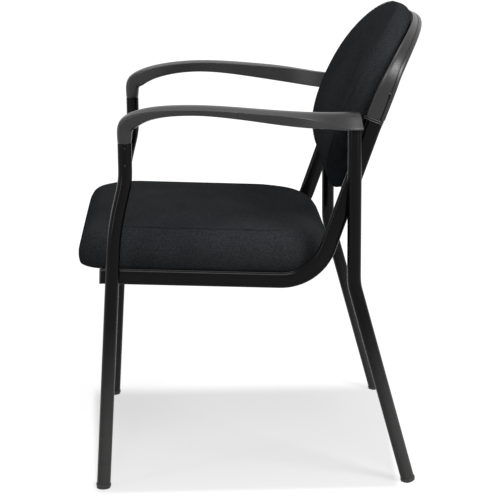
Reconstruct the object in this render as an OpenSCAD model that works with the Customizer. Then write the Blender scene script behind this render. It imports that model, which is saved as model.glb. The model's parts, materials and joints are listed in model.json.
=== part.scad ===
// Guest chair: fixed steel tube frame on four legs, upholstered seat and back,
// moulded arms. Millimetres, +Z up, the sitter faces -Y, +X is the sitter's left.
// The origin is on the floor, in the middle of the chair's box.

/* [Legs] */
// Outside diameter of the leg tubes
leg_d = 25; // [22:1:30]
// Wall of the leg tubes
leg_wall = 1.5; // [1:0.25:2.5]
// Distance from the side of the seat to the centre line of the legs
leg_side_gap = 33; // [31:1:45]
// Distance on the floor between the front and rear foot centres
foot_run = 560; // [520:5:620]
// Rearward lean of the lower part of the front legs, in degrees
front_lean = 3.7; // [2:0.1:6]
// Rearward lean of the front legs beside the seat, in degrees
front_upper_lean = 14; // [11:0.5:16]
// Height between the lower and the upper bend of the front legs
front_bend_rise = 88; // [80:1:100]
// Height from the upper bend of the front legs to their top
front_top_h = 67; // [55:1:75]
// Radius of the lower bend of the front legs
front_bend_r = 500; // [200:10:520]
// Radius of the upper bend of the front legs
front_top_bend_r = 150; // [60:10:170]
// Height where the front legs end in the arm sockets
arm_joint_z = 636; // [620:1:660]
// Angle of the lower rear legs from the vertical, in degrees
rear_leg_lean = 15.3; // [10:0.1:18]
// Height of the bend of the rear legs
rear_bend_z = 376; // [340:1:420]
// Radius of the bend of the rear legs
rear_bend_r = 100; // [60:5:200]
// Height of the top of the rear legs above the top of the front legs
rear_top_rise = 14; // [5:1:20]
// Height of the foot glide below the end of a leg tube
glide_h = 8; // [6:0.5:12]
// Overhang of the foot glide round the leg tube
glide_lip = 1; // [0.5:0.25:2]

/* [Side rails] */
// Tall side of the flat oval rail tube
rail_major = 30; // [26:1:34]
// Thickness of the flat oval rail tube
rail_minor = 15; // [12:1:18]
// Wall of the rail tube
rail_wall = 1.5; // [1:0.25:2.5]
// Length of rail that stands out in front of the front foot centre
rail_overhang = -5; // [-12:1:2]
// Height of the rail's centre line above the front foot
rail_front_z = 394; // [380:1:410]
// Downward slope of the seat rail to the rear, in degrees
rail_slope = 2.4; // [0:0.1:5]
// Distance from the front foot centre to the corner of the bent rail
rail_corner_y = 390; // [370:1:400]
// Bend radius between seat rail and back upright
rail_bend_r = 88; // [60:1:110]
// Angle of the bare upright from the vertical, in degrees
upright_lean = 19.8; // [18:0.1:22]
// Length of the bare upright from the corner to the back shell
upright_len = 291; // [270:1:310]
// Length of upright that runs up inside the back shell
upright_in_shell = 70; // [50:5:90]

/* [Cross tubes] */
// Diameter of the tubes that carry the seat
cross_d = 20; // [16:1:22]
// Wall of the cross tubes
cross_wall = 1.5; // [1:0.25:2.5]
// Distance from the front foot centre to the front cross tube
front_cross_y = 75; // [50:5:110]
// Distance from the front foot centre to the rear cross tube
rear_cross_y = 285; // [240:5:320]

/* [Seat] */
// Width of the seat cushion
seat_w = 494; // [460:2:500]
// Depth of the seat cushion
seat_d = 466; // [440:2:480]
// Distance from the front foot centre to the front of the cushion
seat_overhang = 39; // [20:1:60]
// Thickness of the cushion from its lower edge to its crown
seat_thick = 94; // [70:1:110]
// Corner radius of the seat at the front
seat_front_r = 44; // [30:1:80]
// Corner radius of the seat at the rear
seat_rear_r = 95; // [60:1:120]
// Thickness of the plywood seat board
board_t = 12; // [9:0.5:15]
// Thickness of the dust cover under the seat
dust_t = 1; // [0.5:0.25:1.5]
// Thread diameter of the seat bolts
bolt_d = 6; // [5:0.5:8]
// Distance between the seat bolts across the chair
bolt_spacing = 340; // [260:10:380]

/* [Back] */
// Angle of the backrest from the vertical, in degrees
back_lean = 21.6; // [18:0.1:24]
// Distance from the side of the back cushion to the centre line of the rail tube
back_side_gap = 5; // [1:1:15]
// Height of the top of the back cushion above the end of the bare uprights
back_top = 216; // [190:1:240]
// Depth of the bottom of the back cushion below the end of the bare uprights
back_bottom = 155; // [130:1:180]
// Hollow of the back, from side to middle, over the half width of the cushion
back_wrap = 46; // [35:1:55]
// Radius of the curved back board in plan
back_board_r = 1250; // [1150:10:1500]
// Thickness of the back board
back_board_t = 10; // [8:0.5:12]
// Wall of the moulded back shell
shell_wall = 3; // [2:0.5:4]
// Depth of the hollow between the back board and the shell
shell_gap = 11; // [8:1:16]

/* [Arms] */
// Width of the arm pad
arm_w = 44; // [36:1:50]
// Height of the arm at its inner side, at the rear
arm_h = 32; // [26:1:38]
// Rise of the arm's top above the front socket
arm_rise = 72; // [60:1:85]
// Outward bow of the arm between its posts
arm_bow = 50; // [0:1:55]
// Length of the moulded spigots that sit in the posts
spigot_len = 48; // [30:1:60]
// Diameter of the arm screws
arm_screw_d = 4; // [3:0.5:5]

/* [Hidden] */
$fn = 64;

// One overrun for every cut that passes a face
over = 5;
// Clearance between pieces that are fitted together
fit = 0.3;
// Running fit of screws in their holes
thread_fit = 0.1;
// Distance from the front foot centre to the middle of the chair's box
datum_y = 283.93;
front_y = -datum_y;
rear_y = front_y + foot_run;

leg_x = seat_w / 2 + leg_side_gap;
rail_x = leg_x - leg_d / 2 - rail_minor / 2;
bore_r = leg_d / 2 - leg_wall;
front_top_bend_z = arm_joint_z - front_top_h;
front_bend_z = front_top_bend_z - front_bend_rise;
rear_top_z = arm_joint_z + rear_top_rise;
back_w = 2 * (rail_x - back_side_gap);

// Helpers for a bent run in the plane of a side frame: points are [y, z]
function lean_step(from, lean, z) = [from[0] + (z - from[1]) * tan(lean), z];
function lean_of(p, i) = atan2(p[i + 1][0] - p[i][0], p[i + 1][1] - p[i][1]);
function turn_at(p, i) = lean_of(p, i) - lean_of(p, i - 1);
function span(p, i) = norm(p[i + 1] - p[i]);
function last_of(p) = len(p) - 1;
// Length that the bend at point i takes from each of its straights
function bend_cut(p, r, i) =
    i == 0 || i == last_of(p) ? 0 : r[i] * tan(abs(turn_at(p, i)) / 2);
function along(p, i, s) = p[i] + s * [sin(lean_of(p, i)), cos(lean_of(p, i))];

front_leg_line = let (
    foot = [front_y, 0],
    low = lean_step(foot, front_lean, front_bend_z),
    high = lean_step(low, front_upper_lean, front_top_bend_z)
) [foot, low, high, [high[0], arm_joint_z]];
rear_leg_line = let (
    foot = [rear_y, 0],
    knee = lean_step(foot, -rear_leg_lean, rear_bend_z)
) [foot, knee, [knee[0], rear_top_z]];
front_leg_bends = [0, front_bend_r, front_top_bend_r, 0];
rear_leg_bends = [0, rear_bend_r, 0];

rail_front_y = front_y - rail_overhang;
rail_line = let (
    front = [rail_front_y, rail_front_z],
    corner_y = front_y + rail_corner_y,
    corner = [corner_y, rail_front_z - (corner_y - rail_front_y) * tan(rail_slope)],
    neck = corner + upright_len * [sin(upright_lean), cos(upright_lean)]
) [front, corner, neck, neck + upright_in_shell * [sin(back_lean), cos(back_lean)]];
neck_bend_r = rail_bend_r * 2;
rail_bends = [0, rail_bend_r, neck_bend_r, 0];

// A bend is this much thicker than the straights, which run this far into it, so that
// the two join without faces that almost meet
bend_step = 0.02;
bend_lap = 0.5;

// Carries an outline along a bent run, each bend a true arc. The first child is the
// outline of the straights, the second that of the bends.
module bent_run(p, r, ends = 0) {
    for (i = [0:last_of(p) - 1]) {
        from = i == 0 ? -ends : bend_cut(p, r, i) - bend_lap;
        upto = span(p, i) + (i == last_of(p) - 1 ? ends : bend_lap - bend_cut(p, r, i + 1));
        place(p[i], lean_of(p, i))
            translate([0, 0, from])
                linear_extrude(upto - from)
                    children(0);
    }
    for (i = [1:last_of(p) - 1])
        place(along(p, i - 1, span(p, i - 1) - bend_cut(p, r, i)), lean_of(p, i - 1))
            bend(r[i], turn_at(p, i))
                children(1);
}

module place(at, lean) {
    translate([0, at[0], at[1]]) rotate([-lean, 0, 0]) children();
}

module bend(r, turn) {
    side = turn > 0 ? 1 : -1;
    translate([0, side * r, 0])
        rotate([90, 0, -side * 90])
            rotate_extrude(angle = abs(turn))
                translate([r, 0])
                    rotate(90)
                        children();
}

// Flat oval: two straight sides joined by half rounds, as one outline
round_steps = 12;
module flat_oval(major, minor) {
    r = minor / 2;
    polygon([for (end = [1, -1], i = [0:round_steps])
        let (a = end * 90 - 90 + 180 * i / round_steps)
        [r * cos(a), end * (major / 2 - r) + r * sin(a)]]);
}

module mirrored() {
    mirror([1, 0, 0]) children();
}

// Side rails
module side_rail() {
    color("#161616")
        translate([rail_x, 0, 0])
            difference() {
                bent_run(rail_line, rail_bends) {
                    flat_oval(rail_major, rail_minor);
                    flat_oval(rail_major + bend_step, rail_minor + bend_step);
                }
                bent_run(rail_line, rail_bends, over) {
                    flat_oval(rail_major - 2 * rail_wall, rail_minor - 2 * rail_wall);
                    flat_oval(rail_major - 2 * rail_wall + bend_step,
                        rail_minor - 2 * rail_wall + bend_step);
                }
            }
}

plug_flange = 3;
plug_stem = 14;

// Plug of a rail end: a flange on the end and a stem in the bore
module oval_plug(at, lean) {
    translate([rail_x, 0, 0])
        place(at, lean) {
            translate([0, 0, -plug_flange])
                linear_extrude(plug_flange)
                    flat_oval(rail_major + plug_lip, rail_minor + plug_lip);
            linear_extrude(plug_stem)
                flat_oval(rail_major - 2 * rail_wall - fit, rail_minor - 2 * rail_wall - fit);
        }
}
plug_lip = 1;

module rail_plug() {
    color("#1c1c1c")
        oval_plug(rail_line[0], lean_of(rail_line, 0));
}

// The plug of the upright is flush, because it is drawn into the shell with the tube
module upright_plug() {
    color("#1c1c1c")
        translate([rail_x, 0, 0])
            place(rail_line[3], lean_of(rail_line, 2) + 180) {
                translate([0, 0, -plug_flange])
                    linear_extrude(plug_flange)
                        flat_oval(rail_major, rail_minor);
                linear_extrude(plug_stem)
                    flat_oval(rail_major - 2 * rail_wall - fit, rail_minor - 2 * rail_wall - fit);
            }
}

// Legs
module leg(line, bends) {
    tube = concat([along(line, 0, glide_h)], [for (i = [1:last_of(line)]) line[i]]);
    difference() {
        bent_run(tube, bends) {
            circle(d = leg_d);
            circle(d = leg_d + bend_step);
        }
        bent_run(tube, bends, over) {
            circle(r = bore_r);
            circle(r = bore_r + bend_step / 2);
        }
    }
}

module front_leg() {
    color("#161616")
        difference() {
            translate([leg_x, 0, 0]) leg(front_leg_line, front_leg_bends);
            arm_screw_holes(arm_screw_d / 2 + fit);
        }
}

module rear_leg() {
    color("#161616")
        translate([leg_x, 0, 0]) leg(rear_leg_line, rear_leg_bends);
}

// Foot glide: a lipped cap under the tube and a stem in its bore, worn level on the
// floor where its edge would otherwise stand a little lower
glide_wear = 2.5;

module glide(line) {
    lip_h = glide_h / 2;
    stem = glide_h * 2;
    lean = abs(lean_of(line, 0));
    from = (leg_d / 2 * sin(lean) - glide_wear) / cos(lean);
    color("#101010")
        translate([leg_x, 0, 0])
            difference() {
                place(line[0], lean_of(line, 0)) {
                    translate([0, 0, glide_h - lip_h])
                        cylinder(h = lip_h, d = leg_d + 2 * glide_lip);
                    translate([0, 0, from])
                        cylinder(h = glide_h - lip_h - from, d = leg_d);
                    translate([0, 0, glide_h - lip_h])
                        cylinder(h = lip_h + stem, r = bore_r - fit);
                }
                translate([-leg_d, line[0][0] - leg_d, -2 * glide_h])
                    cube([2 * leg_d, 2 * leg_d, 2 * glide_h]);
            }
}

// Seat: everything under the cushion lies in the plane of the tilted rails
seat_mid_y = front_y - seat_overhang + seat_d / 2;
cross_top = cross_d / 2;
dust_z = cross_top + fit;
board_z = dust_z + dust_t;
cushion_z = board_z - dust_t;
cushion_top_z = cushion_z + seat_thick;

// Frame of the seat: origin on the rail's centre line, at the middle of the cushion
module seat_plane() {
    translate([0, seat_mid_y, rail_front_z - (seat_mid_y - rail_front_y) * tan(rail_slope)])
        rotate([-rail_slope, 0, 0])
            children();
}

cross_ys = [front_y + front_cross_y - seat_mid_y, front_y + rear_cross_y - seat_mid_y];
bolt_places = [for (x = [-1, 1], y = cross_ys) [x * bolt_spacing / 2, y]];

module cross_tube(y) {
    half = rail_x - rail_minor / 2;
    color("#161616")
        seat_plane()
            difference() {
                translate([-half, y, 0])
                    rotate([0, 90, 0])
                        difference() {
                            cylinder(h = 2 * half, d = cross_d);
                            translate([0, 0, -over])
                                cylinder(h = 2 * half + 2 * over, d = cross_d - 2 * cross_wall);
                        }
                for (b = bolt_places)
                    translate([b[0], b[1], -cross_d])
                        cylinder(h = 2 * cross_d, d = bolt_d + 2 * fit);
            }
}

// Outline of the seat as a ring of points, corners rounder at the rear
corner_steps = 7;
side_steps = 4;
function arc_points(c, r, from) =
    [for (i = [0:corner_steps]) let (a = from + 90 * i / corner_steps) c + r * [cos(a), sin(a)]];
function between(a, b, n) = [for (i = [1:n - 1]) a + (b - a) * i / n];
function seat_ring(w, d) = let (
    a = w / 2, b = d / 2,
    rf = seat_front_r * w / seat_w, rr = seat_rear_r * w / seat_w,
    c1 = arc_points([a - rr, b - rr], rr, 0),
    c2 = arc_points([rr - a, b - rr], rr, 90),
    c3 = arc_points([rf - a, rf - b], rf, 180),
    c4 = arc_points([a - rf, rf - b], rf, 270)
) concat(
    c1, between(c1[corner_steps], c2[0], side_steps),
    c2, between(c2[corner_steps], c3[0], side_steps),
    c3, between(c3[corner_steps], c4[0], side_steps),
    c4, between(c4[corner_steps], c1[0], side_steps)
);

// Profile of the cushion: inset as a share of half its width, height as a share of
// its thickness. The sewn seam is at the corner between boxing and crowned top.
seat_profile_shares = [
    [0.049, 0.000], [0.012, 0.047], [0.000, 0.150], [0.000, 0.265], [0.016, 0.430],
    [0.045, 0.585], [0.077, 0.685], [0.113, 0.760], [0.182, 0.818], [0.283, 0.872],
    [0.410, 0.922], [0.560, 0.960], [0.760, 0.988]
];
// The edge rolls off further at the front and the rear than at the sides, and less so
// towards the middle of the top
front_roll_share = 1.3;
rear_roll_share = 1.7;
function roll(share, s) = share + (seat_d / seat_w - share) * s * s;

function seat_form_ring(s) = let (
    inset = s[0] * seat_w / 2,
    front = inset * roll(front_roll_share, s[0]),
    rear = inset * roll(rear_roll_share, s[0])
) [
    for (p = seat_ring(seat_w - 2 * inset, seat_d - front - rear))
        [p[0], p[1] + (front - rear) / 2, cushion_z + s[1] * seat_thick]
];

// Skins a stack of rings into a solid, closed by a point at each end
module loft(rings, first_tip, last_tip) {
    n = len(rings[0]);
    m = len(rings);
    a = n * m;
    sides = [
        for (k = [0:m - 2], i = [0:n - 1]) let (j = (i + 1) % n)
            each [
                [k * n + i, (k + 1) * n + i, k * n + j],
                [k * n + j, (k + 1) * n + i, (k + 1) * n + j]
            ]
    ];
    first_cap = [for (i = [0:n - 1]) [a, i, (i + 1) % n]];
    last_cap = [for (i = [0:n - 1]) [a + 1, (m - 1) * n + (i + 1) % n, (m - 1) * n + i]];
    polyhedron(
        points = concat([for (r = rings) each r], [first_tip, last_tip]),
        faces = concat(sides, first_cap, last_cap)
    );
}

board_inset = 14;

module board_outline(grow = 0) {
    polygon(seat_ring(seat_w - 2 * board_inset + 2 * grow, seat_d - 2 * board_inset + 2 * grow));
}

// Tee nuts: flange radius and thickness, and length and wall of the barrel
tee_r = 10;
tee_t = 1.5;
tee_barrel = 9;
tee_wall = 1.5;
tee_hole_d = bolt_d + 2 * tee_wall;

module seat_cushion() {
    rings = [for (s = seat_profile_shares) seat_form_ring(s)];
    color("#1a1b20")
        seat_plane()
            difference() {
                loft(rings, [0, 0, cushion_z], [0, 0, cushion_top_z]);
                translate([0, 0, cushion_z - over])
                    linear_extrude(board_z + board_t + fit - cushion_z + over)
                        board_outline(fit);
                for (b = bolt_places)
                    translate([b[0], b[1], board_z])
                        cylinder(h = board_t + tee_t + 2 * fit, r = tee_r + fit);
            }
}

module seat_board() {
    color("#b08a5a")
        seat_plane()
            difference() {
                translate([0, 0, board_z])
                    linear_extrude(board_t)
                        board_outline();
                for (b = bolt_places)
                    translate([b[0], b[1], board_z - over])
                        cylinder(h = board_t + 2 * over, d = tee_hole_d);
            }
}

module seat_dust_cover() {
    color("#222222")
        seat_plane()
            difference() {
                translate([0, 0, dust_z])
                    linear_extrude(dust_t)
                        board_outline();
                for (b = bolt_places)
                    translate([b[0], b[1], dust_z - over])
                        cylinder(h = dust_t + 2 * over, d = bolt_d + 2 * fit);
            }
}

washer_t = 1.5;
bolt_head_h = 4;
// Bolt head over its corners and washer, as shares of the bolt's diameter
bolt_head_share = 1.7;
washer_share = 2;

module seat_bolts() {
    top = board_z + board_t;
    color("#8a8a8a")
        seat_plane()
            for (b = bolt_places)
                translate([b[0], b[1], 0]) {
                    translate([0, 0, -cross_top - washer_t - bolt_head_h])
                        cylinder(h = bolt_head_h, d = bolt_head_share * bolt_d, $fn = 6);
                    translate([0, 0, -cross_top - washer_t])
                        cylinder(h = cross_top + washer_t + top, d = bolt_d);
                }
}

module seat_washers() {
    color("#8a8a8a")
        seat_plane()
            for (b = bolt_places)
                translate([b[0], b[1], -cross_top - washer_t])
                    difference() {
                        cylinder(h = washer_t, d = washer_share * bolt_d);
                        translate([0, 0, -over])
                            cylinder(h = washer_t + 2 * over, d = bolt_d + fit);
                    }
}

module seat_tee_nuts() {
    top = board_z + board_t;
    color("#8a8a8a")
        seat_plane()
            for (b = bolt_places)
                translate([b[0], b[1], 0])
                    difference() {
                        union() {
                            translate([0, 0, top]) cylinder(h = tee_t, r = tee_r);
                            translate([0, 0, top - tee_barrel])
                                cylinder(h = tee_barrel, d = tee_hole_d - fit);
                        }
                        translate([0, 0, top - tee_barrel - over])
                            cylinder(h = tee_barrel + tee_t + 2 * over, d = bolt_d + thread_fit);
                    }
}

// Back: a frame at the end of the bare uprights, z up along the back, y to the rear
module back_plane() {
    place(rail_line[2], back_lean) children();
}

back_mid_z = 30;
oval_steps = 60;
top_power = 2.1;
bottom_power = 2.1;
function sgn_pow(v, e) = sign(v) * pow(abs(v), e);
// Point of an oval whose upper and lower halves have their own fullness
function oval_point(a, top, bottom, mid, angle) = let (
    e = 2 / (sin(angle) >= 0 ? top_power : bottom_power),
    reach = sin(angle) >= 0 ? top - mid : mid - bottom
) [a * sgn_pow(cos(angle), e), mid + reach * sgn_pow(sin(angle), e)];
function oval(a, top, bottom, mid) =
    [for (i = [0:oval_steps - 1]) oval_point(a, top, bottom, mid, 360 * i / oval_steps)];

back_board_y = 14;

board_edge = 24;
// Depth of a curved sheet of the back at distance x from the middle
function sheet_y(y, r, x) = y - r + sqrt(r * r - x * x);
function pocket_ring(share, y, r) = let (grow = fit - board_edge)
    [for (p = oval(share * (back_w / 2 + grow), back_mid_z + share * (back_top + grow - back_mid_z),
                   back_mid_z - share * (back_bottom + grow + back_mid_z), back_mid_z))
        [p[0], sheet_y(y, r, p[0]), p[1]]];

// Rings of the back cushion behind the pocket for its board, from the rim of the
// pocket over the edge and the seam to the crown: half width, top and bottom as shares
// of the cushion's own; rearward place in the middle as a share of the board's place;
// forward reach of the sides as a share of the wrap; height of the ring's middle as a
// share of the cushion's. The seam is the ring with the width share 0.863.
back_ring_shares = [
    [0.941, 0.935, 0.930, 1.710, 0.685, 1.5, 0.0],
    [0.966, 0.955, 0.955, 1.500, 0.690, 1.5, 0.0],
    [0.981, 0.978, 0.980, 1.210, 0.685, 1.4, 0.0],
    [0.988, 0.990, 0.993, 0.640, 0.650, 1.3, 0.1],
    [0.989, 0.998, 1.000, 0.070, 0.640, 1.2, 0.3],
    [0.972, 0.998, 0.998, -0.360, 0.685, 1.1, 0.6],
    [0.930, 0.993, 0.990, -0.700, 0.770, 1.0, 0.8],
    [0.863, 0.984, 0.985, -0.860, 0.840, 1.0, 1.0],
    [0.815, 0.930, 0.905, -1.250, 0.760, 1.0, 1.0],
    [0.700, 0.800, 0.740, -1.560, 0.540, 1.0, 1.0],
    [0.530, 0.610, 0.510, -1.720, 0.310, 1.0, 1.0],
    [0.300, 0.380, 0.250, -1.790, 0.100, 1.0, 1.0]
];
// Forward bulge of the front of the cushion at the small of the sitter's back
lumbar = 4;
function lumbar_of(t) = lumbar * (1 - pow((t - lumbar_mid_z) / lumbar_reach, 2));
lumbar_mid_z = -15;
lumbar_reach = 150;

function back_form_ring(s) = let (
    a = s[0] * back_w / 2,
    middle = s[3] * back_board_y,
    reach = s[4] * back_wrap,
    power = 2 - s[6] * wrap_power_drop
) [
    for (p = oval(a, s[1] * back_top, -s[2] * back_bottom, s[5] * back_mid_z))
        [p[0], middle - reach * pow(abs(p[0]) / a, power) - s[6] * lumbar_of(p[1]), p[1]]
];
wrap_power_drop = 0.25;

module back_cushion() {
    floor_y = back_board_y - fit;
    rear_y = back_board_y + back_board_t;
    rings = concat(
        [for (share = [pocket_share, 1]) pocket_ring(share, floor_y, back_board_r - fit)],
        [pocket_ring(1, rear_y, back_board_r + back_board_t)],
        [for (s = back_ring_shares) back_form_ring(s)]
    );
    n = len(back_ring_shares) - 1;
    color("#1a1b20")
        back_plane()
            loft(rings, [0, floor_y, back_mid_z],
                [0, (back_ring_shares[n][3] + crown_share) * back_board_y - lumbar_of(back_mid_z), back_mid_z]);
}
pocket_share = 0.5;
crown_share = -0.02;

// Raises a flat outline of the back from one depth to another
module through_back(from, upto) {
    translate([0, upto, 0]) rotate([90, 0, 0]) linear_extrude(upto - from) children();
}

// Solid inside a curved sheet of the back whose middle is at depth y
module inside_curve(y, r, lean = 0) {
    translate([0, y, 0])
        rotate([-lean, 0, 0])
            translate([0, -r, -back_bottom - 2 * over])
                cylinder(h = back_top + back_bottom + 4 * over, r = r, $fn = 180);
}

// Places of the back screws: shares of the cushion's width and of its top
back_screw_side_share = 0.23;
back_screw_height_shares = [0.5, -0.32];
back_screw_places = [
    for (side = [-1, 1], t = back_screw_height_shares)
        [side * back_screw_side_share * back_w, t * back_top]
];
back_screw_d = 4;

module back_board() {
    color("#b08a5a")
        back_plane()
            difference() {
                intersection() {
                    through_back(-2 * back_wrap, back_wrap)
                        polygon(oval(back_w / 2 - board_edge, back_top - board_edge,
                            board_edge - back_bottom, back_mid_z));
                    inside_curve(back_board_y + back_board_t, back_board_r + back_board_t);
                }
                inside_curve(back_board_y, back_board_r);
                for (p = back_screw_places)
                    translate([p[0], back_wrap, p[1]])
                        rotate([90, 0, 0])
                            cylinder(h = 2 * back_wrap, d = back_screw_d + thread_fit);
            }
}

sleeve_wall = 1.5;
sleeve_major = rail_major + 2 * sleeve_wall;
sleeve_minor = rail_minor + 2 * sleeve_wall;
shell_half = rail_x + sleeve_minor / 2;
sleeve_start = 15;
collar_h = 3.5;
// The collar stands out round the sleeve, but not on its inner side, and most in front
collar_lip = 1.5;
collar_front = 7;
shell_low_half = rail_x - sleeve_minor / 2 - 2 * fit;
// Distance that the shell ends inside the cushion's top and bottom
shell_top_inset = 6;
shell_bottom_inset = 3;
shell_top = back_top - shell_top_inset;
shell_bottom = back_bottom - shell_bottom_inset;
shell_mid_z = 60;
shell_power = 2.5;
shell_y = back_board_y + back_board_t + shell_gap + shell_wall;
shell_r = back_board_r + back_board_t + shell_gap + shell_wall;
// The shell leans a little more than the back board in it
shell_lean = 1.3;
// Front edge of the shell's rim, curved more than its rear face
rim_step = 13;
rim_y = shell_y - rim_step;
rim_curve_share = 0.72;
rim_r = rim_curve_share * back_board_r;
// Space that the cushion and its board take inside the rim, as a share of the cushion
nest_share = 0.945;
screw_head_d = 8;
screw_head_h = 2.5;
screw_seat = 8;
screw_tip = 2;

function half_oval(a, reach, mid, power, from) = let (half_steps = oval_steps / 2) [
    for (i = [0:half_steps]) let (w = from + 180 * i / half_steps)
        [a * sgn_pow(cos(w), 2 / power), mid + reach * sgn_pow(sin(w), 2 / power)]
];
function shell_points(shrink) = concat(
    half_oval(shell_half - shrink, shell_top - shrink - shell_mid_z, shell_mid_z, shell_power, 0),
    [[shrink - shell_half, sleeve_start + shrink], [shrink - shell_low_half, sleeve_start + shrink]],
    half_oval(shell_low_half - shrink, sleeve_start + shell_bottom - shrink, sleeve_start,
        bottom_power, 180),
    [[shell_low_half - shrink, sleeve_start + shrink], [shell_half - shrink, sleeve_start + shrink]]
);

module shell_boss(p) {
    translate([p[0], shell_y + over, p[1]])
        rotate([90, 0, 0])
            cylinder(h = shell_gap + shell_wall + back_board_t, d = 3 * back_screw_d);
}

sleeve_len = upright_in_shell + 2 * plug_flange;

module sleeve() {
    translate([rail_x, 0, sleeve_start])
        linear_extrude(sleeve_len)
            flat_oval(sleeve_major, sleeve_minor);
}

module sleeve_bore() {
    translate([rail_x, 0, 0])
        linear_extrude(upright_in_shell + plug_flange + fit)
            flat_oval(rail_major + fit, rail_minor + fit);
}

module shell_body() {
    intersection() {
        through_back(-back_wrap, shell_y + over) polygon(shell_points(0));
        inside_curve(shell_y, shell_r, shell_lean);
        difference() {
            through_back(-2 * back_wrap, shell_y + 2 * over) polygon(shell_points(-over));
            inside_curve(rim_y, rim_r);
        }
    }
}

module back_shell() {
    color("#2b2b2b")
        back_plane()
            difference() {
                union() {
                    shell_body();
                    sleeve();
                    mirrored() sleeve();
                }
                difference() {
                    intersection() {
                        through_back(-2 * back_wrap, shell_y) polygon(shell_points(shell_wall));
                        inside_curve(shell_y - shell_wall, shell_r - shell_wall, shell_lean);
                    }
                    sleeve();
                    mirrored() sleeve();
                    for (p = back_screw_places)
                        shell_boss(p);
                }
                intersection() {
                    through_back(-2 * back_wrap, shell_y)
                        polygon(oval(nest_share * back_w / 2, nest_share * back_top,
                            -nest_share * back_bottom, back_mid_z));
                    inside_curve(back_board_y + back_board_t + fit, back_board_r + back_board_t + fit);
                }
                sleeve_bore();
                mirrored() sleeve_bore();
                for (p = back_screw_places)
                    back_screw(p, 2 * fit);
            }
}

// Screw into the back board with its head sunk in the shell
module back_screw(p, grow) {
    seat_y = sheet_y(back_board_y + back_board_t, back_board_r + back_board_t, p[0]) + screw_seat;
    translate([p[0], seat_y, p[1]])
        rotate([90, 0, 0]) {
            cylinder(h = screw_seat + back_board_t - screw_tip, d = back_screw_d + grow);
            translate([0, 0, -screw_head_h - grow * over])
                cylinder(h = screw_head_h + grow * over, d = screw_head_d + grow);
        }
}

module back_screws() {
    color("#8a8a8a")
        back_plane()
            for (p = back_screw_places)
                back_screw(p, 0);
}

module collar() {
    color("#2b2b2b")
        back_plane()
            difference() {
                translate([rail_x + collar_lip / 2, -collar_front / 2, sleeve_start - collar_h])
                    linear_extrude(collar_h)
                        flat_oval(sleeve_major + collar_front + collar_lip, sleeve_minor + collar_lip);
                translate([rail_x, 0, 0])
                    linear_extrude(2 * sleeve_start)
                        flat_oval(rail_major + fit, rail_minor + fit);
            }
}

// Arms
front_post_y = front_leg_line[3][0];
rear_post_y = rear_leg_line[2][0];
arm_run = rear_post_y - front_post_y;

// Stations of the arm: place along the run and rise of its top line as shares of run
// and rise, lean of the section in degrees, then shares of bow, width, inner height,
// outer height, outward drop of the top, corner radius and rise of the crest
arm_station_shares = [
    [-0.031, 0.000, 0, 0.00, 0.568, 0.780, 0.780, 0.00, 0.98, 0.00],
    [-0.0325, 0.200, 0, 0.00, 0.600, 0.830, 0.830, 0.00, 0.85, 0.00],
    [-0.0315, 0.405, 12, 0.01, 0.640, 0.880, 0.850, 0.00, 0.66, 0.01],
    [-0.018, 0.580, 34, 0.03, 0.700, 0.960, 0.850, 0.00, 0.52, 0.03],
    [0.008, 0.690, 53, 0.07, 0.770, 0.960, 0.760, 0.02, 0.44, 0.05],
    [0.045, 0.780, 65, 0.14, 0.860, 0.850, 0.580, 0.05, 0.38, 0.08],
    [0.100, 0.863, 76, 0.26, 0.950, 0.720, 0.400, 0.07, 0.33, 0.11],
    [0.175, 0.920, 84, 0.47, 1.000, 0.625, 0.320, 0.09, 0.30, 0.13],
    [0.260, 0.950, 88, 0.68, 1.000, 0.585, 0.280, 0.10, 0.30, 0.13],
    [0.350, 0.955, 91, 0.84, 1.000, 0.580, 0.290, 0.09, 0.30, 0.13],
    [0.460, 0.922, 94, 0.95, 1.000, 0.630, 0.370, 0.07, 0.30, 0.13],
    [0.580, 0.864, 95, 1.00, 1.000, 0.730, 0.450, 0.07, 0.30, 0.12],
    [0.690, 0.812, 95, 0.98, 1.000, 0.840, 0.520, 0.09, 0.30, 0.11],
    [0.780, 0.767, 95, 0.86, 0.980, 0.910, 0.490, 0.16, 0.30, 0.10],
    [0.850, 0.732, 95, 0.64, 0.950, 0.940, 0.380, 0.32, 0.28, 0.09],
    [0.910, 0.702, 94, 0.38, 0.920, 0.960, 0.230, 0.53, 0.24, 0.08],
    [0.960, 0.682, 92, 0.17, 0.880, 0.975, 0.120, 0.70, 0.20, 0.07],
    [1.004, 0.670, 90, 0.03, 0.840, 0.980, 0.090, 0.75, 0.18, 0.06],
    [1.026, 0.666, 82, 0.00, 0.820, 0.980, 0.090, 0.75, 0.18, 0.05]
];

corner_cuts = 4;
// Corner of the arm's section as a short arc towards the next corner
function soft_corner(p, q, s, r) = let (
    a = (p - q) / norm(p - q),
    b = (s - q) / norm(s - q)
) [
    for (i = [0:corner_cuts]) let (f = i / corner_cuts)
        q + a * r * pow(1 - f, 2) + b * r * pow(f, 2)
];
function soft_polygon(c, r) = let (n = len(c))
    [for (i = [0:n - 1]) each soft_corner(c[(i + n - 1) % n], c[i], c[(i + 1) % n], r[i])];
crest_softness = 0.8;

function arm_ring(s) = let (
    y = front_post_y + s[0] * arm_run,
    z = arm_joint_z + s[1] * arm_rise,
    lean = s[2],
    x = leg_x + s[3] * arm_bow,
    w = s[4] * arm_w,
    inner = s[5] * arm_h,
    outer = s[6] * arm_h,
    drop = s[7] * arm_h,
    r = s[8] * min(w, outer + drop * 0.5, inner) / 2,
    crest = [0, s[9] * arm_h],
    section = soft_polygon(
        [[w / 2, -drop], [w / 2, -drop - outer], [-w / 2, -inner], [-w / 2, 0], crest],
        [r, r, r, r, crest_softness * (w / 2 - r)]
    )
) [for (q = section) [x + q[0], y - q[1] * cos(lean), z + q[1] * sin(lean)]];

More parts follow.
